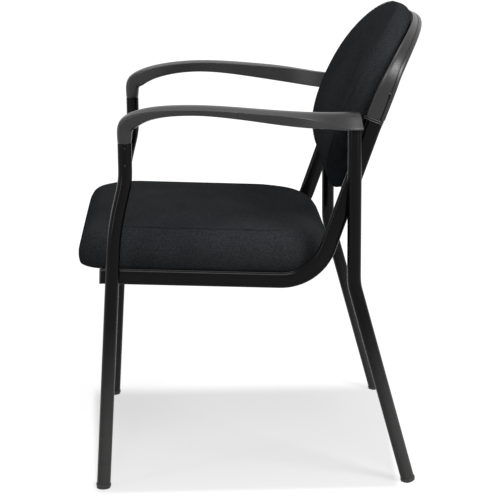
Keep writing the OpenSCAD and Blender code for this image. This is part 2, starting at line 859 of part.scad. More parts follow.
function sum_of(v) = v * [for (n = v) 1];
function middle_of(ring) = [for (axis = [0:2]) sum_of([for (p = ring) p[axis]]) / len(ring)];

module armrest() {
    rings = [for (s = arm_station_shares) arm_ring(s)];
    color("#333333")
        difference() {
            union() {
                loft(rings, middle_of(rings[0]), middle_of(rings[len(rings) - 1]));
                translate([leg_x, front_post_y, arm_joint_z - spigot_len])
                    cylinder(h = spigot_len + over, r = bore_r - fit);
                translate([leg_x, rear_post_y, rear_top_z - spigot_len])
                    cylinder(h = spigot_len + over, r = bore_r - fit);
                translate([leg_x, rear_post_y, rear_top_z])
                    cylinder(h = arm_h / 3, d = leg_d);
            }
            arm_screw_holes(arm_screw_d / 2 + thread_fit);
        }
}

arm_screw_drop = 7;
arm_screw_pitch = 30;
arm_screw_drops = [arm_screw_drop, arm_screw_drop + arm_screw_pitch];
screw_depth = 0.7;

module arm_screw_holes(r) {
    for (d = arm_screw_drops)
        translate([leg_x, front_post_y, arm_joint_z - d])
            rotate([0, 90, 0])
                cylinder(h = leg_d, r = r);
}

module arm_screws() {
    color("#777777")
        for (d = arm_screw_drops)
            translate([leg_x + fit, front_post_y, arm_joint_z - d])
                rotate([0, 90, 0])
                    cylinder(h = leg_d / 2 + screw_depth, d = arm_screw_d);
}

side_rail();  // left_side_rail
mirrored() side_rail();  // right_side_rail
front_leg();  // left_front_leg
mirrored() front_leg();  // right_front_leg
rear_leg();  // left_rear_leg
mirrored() rear_leg();  // right_rear_leg
cross_tube(cross_ys[0]);  // front_cross_tube
cross_tube(cross_ys[1]);  // rear_cross_tube
rail_plug();  // left_rail_plug
mirrored() rail_plug();  // right_rail_plug
upright_plug();  // left_upright_plug
mirrored() upright_plug();  // right_upright_plug
glide(front_leg_line);  // left_front_glide
mirrored() glide(front_leg_line);  // right_front_glide
glide(rear_leg_line);  // left_rear_glide
mirrored() glide(rear_leg_line);  // right_rear_glide
armrest();  // left_armrest
mirrored() armrest();  // right_armrest
arm_screws();  // left_arm_screws
mirrored() arm_screws();  // right_arm_screws
seat_cushion();
seat_board();
seat_dust_cover();
seat_bolts();
seat_washers();
seat_tee_nuts();
back_cushion();
back_board();
back_shell();
collar();  // left_sleeve_collar
mirrored() collar();  // right_sleeve_collar
back_screws();
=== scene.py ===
"""The looks of a guest chair: a bent tube frame, upholstered seat and back, moulded arms.

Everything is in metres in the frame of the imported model: +Z up, the sitter faces -Y,
+X is the sitter's left. Sizes that follow the frame's drawing are written in millimetres
and turned into metres with mm().
"""

import json
from math import atan2, cos, pi, radians, sin, sqrt, tan

import bpy
from mathutils import Matrix, Vector, kdtree


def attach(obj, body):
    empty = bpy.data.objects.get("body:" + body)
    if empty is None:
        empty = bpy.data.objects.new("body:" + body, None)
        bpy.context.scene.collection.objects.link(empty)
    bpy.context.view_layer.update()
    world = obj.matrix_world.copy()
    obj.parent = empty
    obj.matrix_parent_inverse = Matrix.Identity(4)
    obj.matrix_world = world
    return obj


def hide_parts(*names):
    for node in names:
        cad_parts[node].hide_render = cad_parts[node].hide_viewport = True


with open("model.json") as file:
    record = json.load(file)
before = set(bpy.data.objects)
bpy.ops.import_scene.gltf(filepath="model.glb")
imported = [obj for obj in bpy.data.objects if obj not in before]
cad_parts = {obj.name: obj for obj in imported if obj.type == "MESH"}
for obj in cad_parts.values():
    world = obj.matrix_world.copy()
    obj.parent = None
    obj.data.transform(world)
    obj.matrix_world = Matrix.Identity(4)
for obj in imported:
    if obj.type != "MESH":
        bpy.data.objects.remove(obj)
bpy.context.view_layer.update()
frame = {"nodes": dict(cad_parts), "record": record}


def mm(*values):
    """Millimetres to metres: one number, or a point."""
    if len(values) == 1:
        return values[0] / 1000
    return Vector([v / 1000 for v in values])


def ease(value, low, high):
    """A smooth step from 0 to 1 between two places."""
    share = min(1, max(0, (value - low) / (high - low)))
    return share * share * (3 - 2 * share)


def stepped(point, lean, length):
    """The point (y, z) that lies a length further along a direction that leans to the rear."""
    return (point[0] + length * sin(lean), point[1] + length * cos(lean))


def leaning(x, y, z, lean):
    """The frame of a form that stands at a point and leans to the rear."""
    return Matrix.Translation(mm(x, y, z)) @ Matrix.Rotation(-lean, 4, "X")


# Side frames, in millimetres: points of the bent runs are (y, z)
FRONT_FOOT_Y = -283.93
LEG_X = 280
LEG_D = 25
FRONT_POST_Y = -230.9
REAR_POST_Y = 173.2
ARM_JOINT_Z = 636
REAR_TOP_Z = 650

RAIL_MAJOR = 30
RAIL_MINOR = 15
RAIL_WALL = 1.5
RAIL_X = LEG_X - LEG_D / 2 - RAIL_MINOR / 2
RAIL_SLOPE = radians(2.4)
UPRIGHT_LEAN = radians(19.8)
BACK_LEAN = radians(21.6)
RAIL_BEND_R = 88
NECK_BEND_R = 176
UPRIGHT_LENGTH = 291
NECK_LENGTH = 70
RAIL_FRONT_Y = FRONT_FOOT_Y + 5
RAIL_FRONT_Z = 394
RAIL_CORNER_Y = FRONT_FOOT_Y + 390


def rail_height(y):
    """Height of a side rail's middle line under the seat."""
    return RAIL_FRONT_Z - (y - RAIL_FRONT_Y) * tan(RAIL_SLOPE)


RAIL_FRONT = (RAIL_FRONT_Y, RAIL_FRONT_Z)
RAIL_CORNER = (RAIL_CORNER_Y, rail_height(RAIL_CORNER_Y))
RAIL_NECK = stepped(RAIL_CORNER, UPRIGHT_LEAN, UPRIGHT_LENGTH)
RAIL_END = stepped(RAIL_NECK, BACK_LEAN, NECK_LENGTH)

SEAT_W = 494
SEAT_D = 466
SEAT_OVERHANG = 39
SEAT_MID_Y = FRONT_FOOT_Y - SEAT_OVERHANG + SEAT_D / 2

# The seat is drawn lying in X and Y of its plane, the back standing in X and Z of its own
SEAT_PLANE = leaning(0, SEAT_MID_Y, rail_height(SEAT_MID_Y), RAIL_SLOPE)
BACK_PLANE = leaning(0, *RAIL_NECK, BACK_LEAN)


# Handling of objects
DOUBLES_APART = 1e-6


def only(piece):
    """Selects one piece alone and makes it active."""
    bpy.ops.object.select_all(action="DESELECT")
    piece.select_set(True)
    bpy.context.view_layer.objects.active = piece


def edit_all(piece):
    """Opens a piece in edit mode with all of it selected."""
    only(piece)
    bpy.ops.object.mode_set(mode="EDIT")
    bpy.ops.mesh.select_all(action="SELECT")


def apply_all(piece):
    """Applies the modifiers of a piece in their order."""
    only(piece)
    for modifier in list(piece.modifiers):
        bpy.ops.object.modifier_apply(modifier=modifier.name)


def named(name):
    """Gives the new active object and its mesh a name."""
    piece = bpy.context.object
    piece.name = name
    piece.data.name = name
    return piece


def rolled_sheet(name, rows):
    """A flat grid rolled up: each row of the grid becomes one ring of the form.

    A row that is one point repeated closes the form there, and a last row like the
    first makes a ring of it.
    """
    around = len(rows[0])
    bpy.ops.object.select_all(action="DESELECT")
    bpy.ops.mesh.primitive_grid_add(x_subdivisions=around, y_subdivisions=len(rows) - 1, size=1)
    piece = named(name)
    points = [row[i % around] for row in rows for i in range(around + 1)]
    piece.data.vertices.foreach_set("co", [value for p in points for value in p])
    edit_all(piece)
    bpy.ops.mesh.remove_doubles(threshold=DOUBLES_APART)
    bpy.ops.mesh.normals_make_consistent(inside=False)
    bpy.ops.object.mode_set(mode="OBJECT")
    return piece


def at_point(point, count):
    """A row that closes a rolled sheet in one point."""
    return [point] * count


def smooth(piece, angle=40):
    """Shades a piece smooth, apart from edges that are sharper than an angle in degrees."""
    only(piece)
    bpy.ops.object.shade_smooth_by_angle(angle=radians(angle))


def subdivide(piece, levels):
    """Rounds a piece with applied subdivision."""
    rounding = piece.modifiers.new("rounding", "SUBSURF")
    rounding.levels = levels
    rounding.render_levels = levels
    apply_all(piece)


def mirrored_copy(piece, name):
    """The same piece for the other side, with its own mesh turned outwards again."""
    only(piece)
    bpy.ops.object.duplicate(linked=False)
    copy = named(name)
    for vertex in copy.data.vertices:
        vertex.co.x = -vertex.co.x
    edit_all(copy)
    bpy.ops.mesh.flip_normals()
    bpy.ops.object.mode_set(mode="OBJECT")
    return copy


def settle(piece, slot, material, *nodes):
    """Finishes a piece: its material, its body and the nodes it stands for. The slot is not used."""
    piece.data.materials.clear()
    piece.data.materials.append(material)
    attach(piece, "root")
    if nodes:
        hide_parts(*nodes)


# Materials
# Sockets of a Mix node that mixes colours
MIX_FIRST = 6
MIX_SECOND = 7
MIX_RESULT = 2
# A wave texture of scale 1 runs through this many radians in a metre
WAVE_RADIANS = 20
THREAD_PITCH = 1.8
# Heights in metres where the painted reflection of the floor begins on the tubes and where it is full
FLOOR_REFLECTION_TOP = 0.34
FLOOR_REFLECTION_FULL = 0.06


def new_material(name):
    """An empty node material with its shader, and its Object coordinates."""
    material = bpy.data.materials.new(name)
    material.use_nodes = True
    nodes = material.node_tree.nodes
    shader = nodes["Principled BSDF"]
    place = nodes.new("ShaderNodeTexCoord")
    return material, shader, place.outputs["Object"]


def fill(owner, made, inputs):
    """Links the inputs of a node of a material or the world, or sets those that are plain."""
    for key, value in inputs.items():
        if isinstance(value, bpy.types.NodeSocket):
            owner.node_tree.links.new(value, made.inputs[key])
        else:
            made.inputs[key].default_value = value


def node(owner, kind, inputs=None, **settings):
    """Adds a node, sets its properties and fills its inputs."""
    made = owner.node_tree.nodes.new(kind)
    for key, value in settings.items():
        setattr(made, key, value)
    fill(owner, made, inputs or {})
    return made


def maths(owner, operation, *values):
    """What a Math node makes of linked or plain values."""
    return node(owner, "ShaderNodeMath", dict(enumerate(values)), operation=operation).outputs["Value"]


def split(material, vector):
    """The X, Y and Z of a vector."""
    return node(material, "ShaderNodeSeparateXYZ", {"Vector": vector}).outputs


def ramp(material, source, low, high, stops):
    """A colour ramp between two stops."""
    made = node(material, "ShaderNodeValToRGB", {"Fac": source})
    for element, stop, colour in zip(made.color_ramp.elements, stops, (low, high)):
        element.position = stop
        element.color = (*colour, 1)
    return made.outputs["Color"]


def spread(material, source, low, high):
    """Maps a value from 0..1 to a range."""
    made = node(material, "ShaderNodeMapRange", {"Value": source, "To Min": low, "To Max": high})
    return made.outputs["Result"]


def smooth_step(material, source, low, high, start=0.0, end=1.0):
    """Goes smoothly from start to end while the source goes from low to high."""
    made = node(material, "ShaderNodeMapRange", {
        "Value": source, "From Min": low, "From Max": high, "To Min": start, "To Max": end},
        interpolation_type="SMOOTHSTEP")
    return made.outputs["Result"]


def noise(material, place, scale, detail, roughness=0.5):
    """A noise pattern from 0 to 1. The scale is in waves a metre."""
    made = node(material, "ShaderNodeTexNoise", {
        "Vector": place, "Scale": scale, "Detail": detail, "Roughness": roughness})
    return made.outputs["Fac"]


def mixed_colours(material, share, first, second, blend="MIX"):
    """Mixes two colours, each of them linked or plain, by a share."""
    made = node(material, "ShaderNodeMix", {"Factor": share, MIX_FIRST: first, MIX_SECOND: second},
                data_type="RGBA", blend_type=blend)
    return made.outputs[MIX_RESULT]


def bump(material, height, strength, distance):
    """A bumped normal. The distance is in metres."""
    made = node(material, "ShaderNodeBump", {"Height": height, "Strength": strength, "Distance": distance})
    return made.outputs["Normal"]


def satin_black_paint():
    """Powder coat: a faint orange peel, uneven gloss, and a painted reflection of the floor, speckled,
    that greys it towards the feet.
    """
    material, shader, place = new_material("satin_black_paint")
    clean = ramp(material, noise(material, place, scale=9.0, detail=6.0),
                 (0.0015, 0.0015, 0.0015), (0.003, 0.003, 0.003), stops=(0.35, 0.75))
    # Painted reflection of the floor: the base colour turns a speckled grey towards the feet
    low = smooth_step(material, split(material, place)["Z"], FLOOR_REFLECTION_TOP, FLOOR_REFLECTION_FULL)
    speckle = spread(material, noise(material, place, scale=45.0, detail=8.0, roughness=0.7), 0.7, 1.3)
    painted_reflection = maths(material, "MULTIPLY", low, speckle)
    peel = noise(material, place, scale=900.0, detail=2.0)
    fill(material, shader, {
        "Base Color": mixed_colours(material, painted_reflection, clean, (0.045, 0.045, 0.044, 1)),
        "Roughness": spread(material, noise(material, place, scale=60.0, detail=5.0), 0.15, 0.22),
        "Normal": bump(material, peel, strength=0.12, distance=0.0002),
        "Specular IOR Level": 0.06,
        "Coat Weight": 0.06,
        "Coat Roughness": 0.06,
    })
    return material


def moulded_plastic():
    """Dark grey plastic with a fine eroded grain."""
    material, shader, place = new_material("moulded_grey_plastic")
    cloudy = ramp(material, noise(material, place, scale=14.0, detail=5.0),
                  (0.008, 0.008, 0.0078), (0.013, 0.013, 0.0127), stops=(0.3, 0.75))
    grained = ramp(material, noise(material, place, scale=420.0, detail=4.0, roughness=0.7),
                   (0.4, 0.4, 0.4), (1.7, 1.7, 1.7), stops=(0.3, 0.7))
    grain = node(material, "ShaderNodeTexVoronoi", {"Vector": place, "Scale": 1400.0}).outputs["Distance"]
    fill(material, shader, {
        "Base Color": mixed_colours(material, 1.0, cloudy, grained, "MULTIPLY"),
        "Roughness": spread(material, noise(material, place, scale=120.0, detail=4.0), 0.29, 0.37),
        "Normal": bump(material, grain, strength=0.25, distance=0.0002),
        "Specular IOR Level": 0.36,
    })
    return material


def black_plastic(name, colour, rough):
    """Plain black moulding for plugs and glides."""
    material, shader, place = new_material(name)
    lighter = [c * 1.6 for c in colour]
    cloudy = noise(material, place, scale=40.0, detail=5.0)
    worn = noise(material, place, scale=300.0, detail=3.0)
    grain = noise(material, place, scale=1500.0, detail=2.0)
    fill(material, shader, {
        "Base Color": ramp(material, cloudy, colour, lighter, stops=(0.35, 0.8)),
        "Roughness": spread(material, worn, rough - 0.06, rough + 0.08),
        "Normal": bump(material, grain, strength=0.2, distance=0.0002),
    })
    return material


def bare_steel(name, low, high):
    """Small steel parts. Their two colours make them plated or blackened."""
    material, shader, place = new_material(name)
    cloudy = noise(material, place, scale=90.0, detail=6.0)
    worn = noise(material, place, scale=400.0, detail=3.0)
    grain = noise(material, place, scale=800.0, detail=2.0)
    fill(material, shader, {
        "Base Color": ramp(material, cloudy, low, high, stops=(0.3, 0.8)),
        "Roughness": spread(material, worn, 0.25, 0.42),
        "Normal": bump(material, grain, strength=0.15, distance=0.0001),
        "Metallic": 1.0,
    })
    return material


def bare_plywood():
    """Birch plies seen on the edge, long grain on the face."""
    material, shader, place = new_material("bare_plywood")
    stretched = node(material, "ShaderNodeMapping", {"Vector": place, "Scale": (3.0, 60.0, 60.0)})
    grain = noise(material, stretched.outputs["Vector"], scale=4.0, detail=8.0, roughness=0.65)
    fill(material, shader, {
        "Base Color": ramp(material, grain, (0.30, 0.18, 0.09), (0.52, 0.36, 0.20), stops=(0.3, 0.7)),
        "Normal": bump(material, grain, strength=0.3, distance=0.0005),
        "Roughness": 0.65,
    })
    return material


def dust_cloth():
    """Thin spunbonded cloth: a felt of random fibres."""
    material, shader, place = new_material("dust_cloth")
    fibres = noise(material, place, scale=700.0, detail=8.0, roughness=0.7)
    fill(material, shader, {
        "Base Color": ramp(material, fibres, (0.008, 0.008, 0.008), (0.03, 0.03, 0.03), stops=(0.35, 0.7)),
        "Normal": bump(material, fibres, strength=0.4, distance=0.0004),
        "Roughness": 0.95,
    })
    return material


def woven_fabric():
    """Black plain weave: warp and weft in each of the three planes, blended by the normal."""
    material, shader, place = new_material("black_woven_fabric")
    facing = split(material, node(material, "ShaderNodeTexCoord").outputs["Normal"])
    bands = 2 * pi / WAVE_RADIANS / mm(THREAD_PITCH)
    weaves = []
    for axis, turn in (("Z", (0, 0, 0)), ("Y", (pi / 2, 0, 0)), ("X", (0, pi / 2, 0))):
        laid = node(material, "ShaderNodeMapping", {"Vector": place, "Rotation": turn}).outputs["Vector"]
        warp, weft = [
            node(material, "ShaderNodeTexWave", {
                "Vector": laid, "Scale": bands, "Distortion": 0.6, "Detail": 2.0, "Detail Scale": 2.0},
                bands_direction=direction).outputs["Fac"]
            for direction in ("X", "Y")
        ]
        weave = maths(material, "MULTIPLY", warp, weft)
        share = maths(material, "POWER", facing[axis], 2.0)
        weaves.append(maths(material, "MULTIPLY", weave, share))
    threads = maths(material, "ADD", maths(material, "ADD", weaves[0], weaves[1]), weaves[2])
    fluff = spread(material, noise(material, place, scale=380.0, detail=6.0, roughness=0.7), -0.9, 0.9)
    cloth = maths(material, "ADD", threads, fluff)
    colour = ramp(material, cloth, (0.0095, 0.0103, 0.0112), (0.041, 0.0445, 0.0475), stops=(0.0, 0.9))
    worn = ramp(material, noise(material, place, scale=6.0, detail=5.0),
                (0.80, 0.80, 0.82), (1.15, 1.15, 1.15), stops=(0.3, 0.7))
    fill(material, shader, {
        "Base Color": mixed_colours(material, 1.0, colour, worn, "MULTIPLY"),
        "Normal": bump(material, cloth, strength=0.5, distance=0.0006),
        "Roughness": 0.9,
        "Specular IOR Level": 0.0,
        "Sheen Weight": 0.01,
        "Sheen Roughness": 0.45,
        "Sheen Tint": (0.85, 0.92, 1.0, 1),
    })
    return material


# Side rails
TUBE_STEPS = 40
BEND_STEPS = 16
# Steps round the rings of collars, plugs and post rims
FITTING_STEPS = 48


def flat_oval_ring(count, major, minor, at):
    """Points of a flat oval, placed by a matrix. The long side runs along local Y."""
    half = (major - minor) / 2
    ring = []
    for i in range(count):
        angle = 2 * pi * (i + 0.5) / count
        shift = half if sin(angle) > 0 else -half
        ring.append(at @ mm(minor / 2 * cos(angle), minor / 2 * sin(angle) + shift, 0))
    return ring


def bend_length(turn, radius):
    """How far a bend reaches along each of its two straight lines."""
    return radius * tan(abs(turn) / 2)


def run_places(points, bends):
    """Places along a bent run as (y, z, lean), with true arcs at the bends."""
    leans = [atan2(b[0] - a[0], b[1] - a[1]) for a, b in zip(points, points[1:])]
    places = [(*points[0], leans[0])]
    for i, radius in bends.items():
        before = leans[i - 1]
        turn = leans[i] - before
        y, z = stepped(points[i], before, -bend_length(turn, radius))
        reach = radius if turn > 0 else -radius
        centre_y = y + reach * cos(before)
        centre_z = z - reach * sin(before)
        for k in range(BEND_STEPS + 1):
            lean = before + turn * k / BEND_STEPS
            places.append((centre_y - reach * cos(lean), centre_z + reach * sin(lean), lean))
    places.append((*points[-1], leans[-1]))
    return places


def side_rail():
    """The bent flat oval tube that carries the seat and runs up into the back."""
    points = [RAIL_FRONT, RAIL_CORNER, RAIL_NECK, RAIL_END]
    bore = []
    skin = []
    for y, z, lean in run_places(points, {1: RAIL_BEND_R, 2: NECK_BEND_R}):
        at = leaning(RAIL_X, y, z, lean)
        skin.append(flat_oval_ring(TUBE_STEPS, RAIL_MAJOR, RAIL_MINOR, at))
        bore.append(flat_oval_ring(TUBE_STEPS, RAIL_MAJOR - 2 * RAIL_WALL, RAIL_MINOR - 2 * RAIL_WALL, at))
    rail = rolled_sheet("left_rail_tube", skin + bore[::-1] + skin[:1])
    smooth(rail)
    return rail


# Both cushions
# In metres: how near a seam the cover is held still, how near and how deep it is drawn in,
# and the spacing of a search tree's points
SEAM_HOLD = 0.004
SEAM_REACH = 0.006
SEAM_DEPTH = 0.0003
LINE_STEP = 0.0005
# In millimetres: the sewn lines, and how thin and along how many points an open end tapers
THREAD_R = 0.5
THREAD_TIP = 0.15
TIP_POINTS = 4
PUFF_PRESSURE = 4
PUFF_STEPS = 20
CUSHION_ANGLE = 60


def puff(piece, held, limit):
    """Fills a cushion: a short cloth simulation with pressure, held at seams and fixings."""
    before = [v.co.copy() for v in piece.data.vertices]
    group = piece.vertex_groups.new(name="held")
    for v in piece.data.vertices:
        group.add([v.index], held(v.co), "REPLACE")
    only(piece)
    cover = piece.modifiers.new("cover", "CLOTH")
    cover.settings.quality = 5
    cover.settings.use_pressure = True
    cover.settings.uniform_pressure_force = PUFF_PRESSURE
    cover.settings.vertex_group_mass = "held"
    cover.settings.effector_weights.gravity = 0
    cover.point_cache.frame_start = 1
    cover.point_cache.frame_end = PUFF_STEPS
    for step in range(1, PUFF_STEPS + 1):
        bpy.context.scene.frame_set(step)
    bpy.ops.object.modifier_apply(modifier=cover.name)
    bpy.context.scene.frame_set(1)
    piece.vertex_groups.clear()
    for v, old in zip(piece.data.vertices, before):
        moved = v.co - old
        if moved.length > limit:
            v.co = old + moved * (limit / moved.length)


def remesh(piece, size):
    """Covers a piece with an even mesh."""
    only(piece)
    piece.data.remesh_voxel_size = size
    bpy.ops.object.voxel_remesh()


def tree_of(points, closed=True):
    """A search tree of a line, filled in to a point every half millimetre."""
    line = []
    for a, b in zip(points, points[1:] + points[:1] if closed else points[1:]):
        count = max(1, int((b - a).length / LINE_STEP))
        line += [a.lerp(b, k / count) for k in range(count)]
    tree = kdtree.KDTree(len(line))
    for i, p in enumerate(line):
        tree.insert(p, i)
    tree.balance()
    return tree


def sew(piece, trees):
    """Draws the cover in along its sewn lines."""
    for v in piece.data.vertices:
        gap = min(tree.find(v.co)[2] for tree in trees)
        if gap < SEAM_REACH:
            v.co -= v.normal * SEAM_DEPTH * (1 - gap / SEAM_REACH) ** 2


def stuff(piece, at_board, seam, swell, sewn):
    """Fills a cushion that its board and its seam hold, and draws it in where it is sewn."""
    def held(co):
        return 1.0 if at_board(co) or seam.find(co)[2] < SEAM_HOLD else 0.0

    puff(piece, held, mm(swell))
    subdivide(piece, 1)
    sew(piece, sewn)
    smooth(piece, CUSHION_ANGLE)


def thread_lines(name, lines, closed):
    """Thin sewn lines along rows of points. An open line thins out at its ends."""
    curve = bpy.data.curves.new(name, "CURVE")
    curve.dimensions = "3D"
    for points in lines:
        spline = curve.splines.new("POLY")
        spline.points.add(len(points) - 1)
        for i, (target, p) in enumerate(zip(spline.points, points)):
            target.co = (*p, 1)
            to_end = min(i, len(points) - 1 - i)
            target.radius = 1 if closed else THREAD_TIP + (1 - THREAD_TIP) * ease(to_end, 0, TIP_POINTS)
        spline.use_cyclic_u = closed
    curve.bevel_depth = mm(THREAD_R)
    curve.bevel_resolution = 2
    curve.use_fill_caps = not closed
    thread = bpy.data.objects.new(name, curve)
    bpy.context.collection.objects.link(thread)
    only(thread)
    bpy.ops.object.convert(target="MESH")
    thread = named(name)
    smooth(thread)
    return thread


# Seat
SEAT_LOW = 10.3
SEAT_THICK = 94
SEAT_FRONT_R = 44
SEAT_REAR_R = 95
CORNER_POINTS = 10
SIDE_POINTS = 12
# The seat's rings from its lower edge to its crown: inset and height
SEAT_PROFILE_SHARES = [
    (0.046, -0.045), (0.012, -0.008), (0.000, 0.120), (0.000, 0.265), (0.016, 0.430),
    (0.045, 0.585), (0.077, 0.685), (0.113, 0.760), (0.182, 0.818), (0.283, 0.872),
    (0.410, 0.922), (0.560, 0.960), (0.760, 0.988),
]
SEAT_SEAM = 7
# How much further than the sides the front and the rear draw in, at the edge and on the top
FRONT_ROLL_SHARES = (1.0, 1.5)
REAR_ROLL_SHARES = (1.35, 1.7)
ROLL_RUN = (0.08, 0.25)
# The outline's corners grow rounder by this much while the inset goes through this run
CORNER_GROWTH = 58
CORNER_RUN = (0.03, 0.16)
# The pocket for the board, the room that the top leaves for the filling, how far it swells,
# and the height up to which the cover is held at the board
SEAT_POCKET_DEPTH = 13.6
SEAT_POCKET_MARGIN = 27
SEAT_SLACK = 3.0
SEAT_SINK_SHARE = 0.02
SEAT_CROWN_DIP = 2
SEAT_SWELL = 6
SEAT_VOXEL = 5.5
SEAT_HOLD_HEIGHT = 6
# The seam is sewn along the two sides, from here outwards and between these places
SEWN_X = 150
SEWN_Y = (-175, 150)


def seat_outline(width, depth, rounder=0.0):
    """Rounded outline of the seat, its corners rounder at the rear."""
    front_r = SEAT_FRONT_R + rounder
    corners = [(1, 1, SEAT_REAR_R), (-1, 1, SEAT_REAR_R), (-1, -1, front_r), (1, -1, front_r)]
    points = []
    for quarter, (x, y, radius) in enumerate(corners):
        r = radius * (width / SEAT_W)
        for k in range(CORNER_POINTS + 1):
            angle = (quarter + k / CORNER_POINTS) * pi / 2
            points.append((x * (width / 2 - r) + r * cos(angle), y * (depth / 2 - r) + r * sin(angle)))
    full = []
    for i, (x, y) in enumerate(points):
        full.append((x, y))
        if i % (CORNER_POINTS + 1) == CORNER_POINTS:
            u, v = points[(i + 1) % len(points)]
            full += [(x + (u - x) * k / SIDE_POINTS, y + (v - y) * k / SIDE_POINTS)
                     for k in range(1, SIDE_POINTS)]
    return full


def seat_ring(inset_share, height_share, shrink=0.0):
    """One ring of the seat cushion in the frame of the chair."""
    inset = inset_share * SEAT_W / 2 + shrink

    def rolled(low, high):
        share = low + (high - low) * ease(inset_share, *ROLL_RUN)
        return inset * (share + (SEAT_D / SEAT_W - share) * inset_share ** 2)

    front = rolled(*FRONT_ROLL_SHARES)
    rear = rolled(*REAR_ROLL_SHARES)
    z = SEAT_LOW + height_share * SEAT_THICK
    rounder = CORNER_GROWTH * ease(inset_share, *CORNER_RUN)
    outline = seat_outline(SEAT_W - 2 * inset, SEAT_D - front - rear, rounder)
    return [SEAT_PLANE @ mm(x, y + (front - rear) / 2, z) for x, y in outline]


def seat_upholstery():
    """The seat: boxing that curves in, a sewn seam, and a crowned top."""
    count = len(seat_outline(SEAT_W, SEAT_D))
    pocket_top = SEAT_LOW + SEAT_POCKET_DEPTH
    pocket = seat_outline(SEAT_W - SEAT_POCKET_MARGIN, SEAT_D - SEAT_POCKET_MARGIN)
    pocket = [SEAT_PLANE @ mm(x, y, 0) for x, y in pocket]
    up = SEAT_PLANE.to_3x3() @ Vector((0, 0, 1))
    rows = [at_point(SEAT_PLANE @ mm(0, 0, pocket_top), count)]
    for height in (pocket_top, SEAT_LOW):
        rows.append([p + up * mm(height) for p in pocket])
    for i, (inset, height) in enumerate(SEAT_PROFILE_SHARES):
        if i > SEAT_SEAM:
            rows.append(seat_ring(inset, height - SEAT_SINK_SHARE, SEAT_SLACK))
        else:
            rows.append(seat_ring(inset, height))
    rows.append(at_point(SEAT_PLANE @ mm(0, 0, SEAT_LOW + SEAT_THICK - SEAT_CROWN_DIP), count))
    seat = rolled_sheet("seat_upholstery", rows)
    remesh(seat, mm(SEAT_VOXEL))
    seam = seat_ring(*SEAT_PROFILE_SHARES[SEAT_SEAM])
    down = SEAT_PLANE.inverted()
    low, high = SEWN_Y
    sides = []
    for side in (1, -1):
        line = [p for p in seam if p.x * side > mm(SEWN_X) and mm(low) < (down @ p).y < mm(high)]
        sides.append(sorted(line, key=lambda p: p.y))

    def at_board(co):
        return (down @ co).z < mm(SEAT_LOW + SEAT_HOLD_HEIGHT)

    stuff(seat, at_board, tree_of(seam), SEAT_SWELL, [tree_of(line, False) for line in sides])
    return seat, thread_lines("seat_seam", sides, False)


# Back
BACK_W = 510
BACK_TOP = 216
BACK_BOTTOM = 155
BACK_MID = 30
BACK_WRAP = 46
# The board in the back: its front face, its curve, its thickness and its margin to the edge
BOARD_Y = 14
BOARD_R = 1250
BOARD_T = 10
BOARD_EDGE = 24
# The ovals' power: 2 is an ellipse, and a higher one is fuller
BACK_POWER = 2.1
# The back's rings from behind to the middle of its front:
# half width, top, bottom, depth, wrap to the rear, height of the widest place, share of the front
BACK_RING_SHARES = [
    (0.941, 0.935, 0.930, 1.710, 0.685, 1.5, 0.0),
    (0.966, 0.955, 0.955, 1.500, 0.690, 1.5, 0.0),
    (0.981, 0.978, 0.980, 1.210, 0.685, 1.4, 0.0),
    (0.988, 0.990, 0.993, 0.640, 0.650, 1.3, 0.1),
    (0.989, 0.998, 0.980, 0.070, 0.640, 1.0, 0.3),
    (0.972, 0.998, 0.910, -0.360, 0.685, 0.6, 0.6),
    (0.930, 0.993, 0.840, -0.700, 0.770, 0.3, 0.8),
    (0.873, 0.984, 0.780, -0.820, 0.828, 0.2, 1.0),
    (0.815, 0.930, 0.700, -1.250, 0.760, 0.2, 1.0),
    (0.700, 0.800, 0.590, -1.560, 0.540, 0.3, 1.0),
    (0.530, 0.610, 0.400, -1.720, 0.310, 0.5, 1.0),
    (0.300, 0.380, 0.190, -1.790, 0.100, 0.8, 1.0),
]
# The ring inside the shell's lip, and the ring of the seam
BACK_LIP = 3
BACK_SEAM = 7
LUMBAR = 4
LUMBAR_LOW = 15
LUMBAR_REACH = 150
WRAP_POWER_DROP = 0.25
LOWER_FULLNESS = 0.75
BACK_STEPS = 96
POCKET_FIT = 0.3
BACK_SLACK = 2.0
BACK_CROWN = 0.3
BACK_SWELL = 5
BACK_VOXEL = 5
BACK_HOLD_DEPTH = 4


def signed_power(value, power):
    """A power that keeps the sign."""
    return abs(value) ** power * (1 if value >= 0 else -1)


def oval(half, top, bottom, mid, power, lower_power):
    """A full oval whose upper and lower halves differ in height and fullness, as (x, height)."""
    points = []
    for i in range(BACK_STEPS):
        angle = 2 * pi * i / BACK_STEPS
        above = sin(angle) >= 0
        reach = top - mid if above else mid - bottom
        fullness = 2 / (power if above else lower_power)
        points.append((half * signed_power(cos(angle), fullness),
                       mid + reach * signed_power(sin(angle), fullness)))
    return points


def sheet_depth(y, radius, x):
    """Depth of a curved sheet of the back at a distance from the middle."""
    return y - radius + sqrt(radius * radius - x * x)


def lumbar(t):
    """How far the front swells forward at a height, to support the loins."""
    return LUMBAR * (1 - ((t + LUMBAR_LOW) / LUMBAR_REACH) ** 2)


def back_ring(shares, shrink=0.0):
    """One ring of the back cushion in the frame of the chair."""
    wide, high, low, deep, wrap, mid, front = shares
    half = wide * BACK_W / 2 - shrink
    power = 2 - front * WRAP_POWER_DROP
    outline = oval(half, high * BACK_TOP - shrink, -low * BACK_BOTTOM + shrink, mid * BACK_MID,
                   BACK_POWER, BACK_POWER + front * LOWER_FULLNESS)
    ring = []
    for x, t in outline:
        depth = deep * BOARD_Y - wrap * BACK_WRAP * (abs(x) / half) ** power - front * lumbar(t)
        ring.append(BACK_PLANE @ mm(x, depth, t))
    return ring


